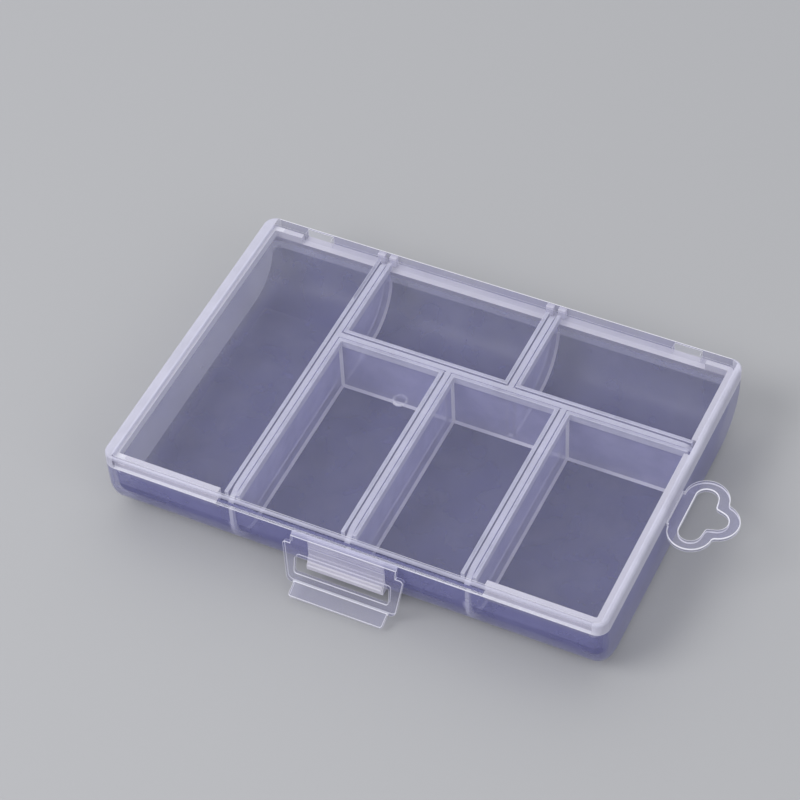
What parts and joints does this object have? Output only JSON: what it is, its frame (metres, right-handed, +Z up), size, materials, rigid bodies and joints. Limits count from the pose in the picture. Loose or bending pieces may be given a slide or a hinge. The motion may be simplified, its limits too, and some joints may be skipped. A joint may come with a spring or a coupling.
{
  "type": "hinged compartment box",
  "caption": "Shallow clear box with fixed compartments under one hinged lid, a flap latch at the front and a lobed hang tab at one end.",
  "frame": {"origin": "middle of the tray's footprint, on the face that it rests on", "axes": "+Z up; +X along the length, towards the hang tab; +Y to the back, where the lid's hinge is"},
  "size_m": [0.1349, 0.0895, 0.0189],
  "materials": {
    "clear_polypropylene": "clear polypropylene with a faint blue-violet cast, milky where it is thick"
  },
  "bodies": {
    "base": {"base_tray": "clear_polypropylene", "locating_lips": "clear_polypropylene", "long_divider": "clear_polypropylene", "cross_divider": "clear_polypropylene", "front_divider_left": "clear_polypropylene", "front_divider_right": "clear_polypropylene", "rear_divider": "clear_polypropylene", "catch_block": "clear_polypropylene", "hang_tab": "clear_polypropylene", "rear_hinge_web": "clear_polypropylene"},
    "lid": {"lid_cover": "clear_polypropylene", "locating_ribs": "clear_polypropylene", "latch_hinge_web": "clear_polypropylene"},
    "latch": {"latch_flap": "clear_polypropylene"}
  },
  "joints": [
    {"name": "lid_hinge", "type": "hinge", "parent": "base", "child": "lid", "pos_m": [0, 0.04115, 0.0156], "axis": [-1, 0, 0], "range_deg": [0, 180]},
    {"name": "latch_hinge", "type": "hinge", "parent": "lid", "child": "latch", "pos_m": [0, -0.04165, 0.0158], "axis": [-1, 0, 0], "range_deg": [-12, 140], "stiffness_Nm_per_rad": 0.0004}
  ]
}
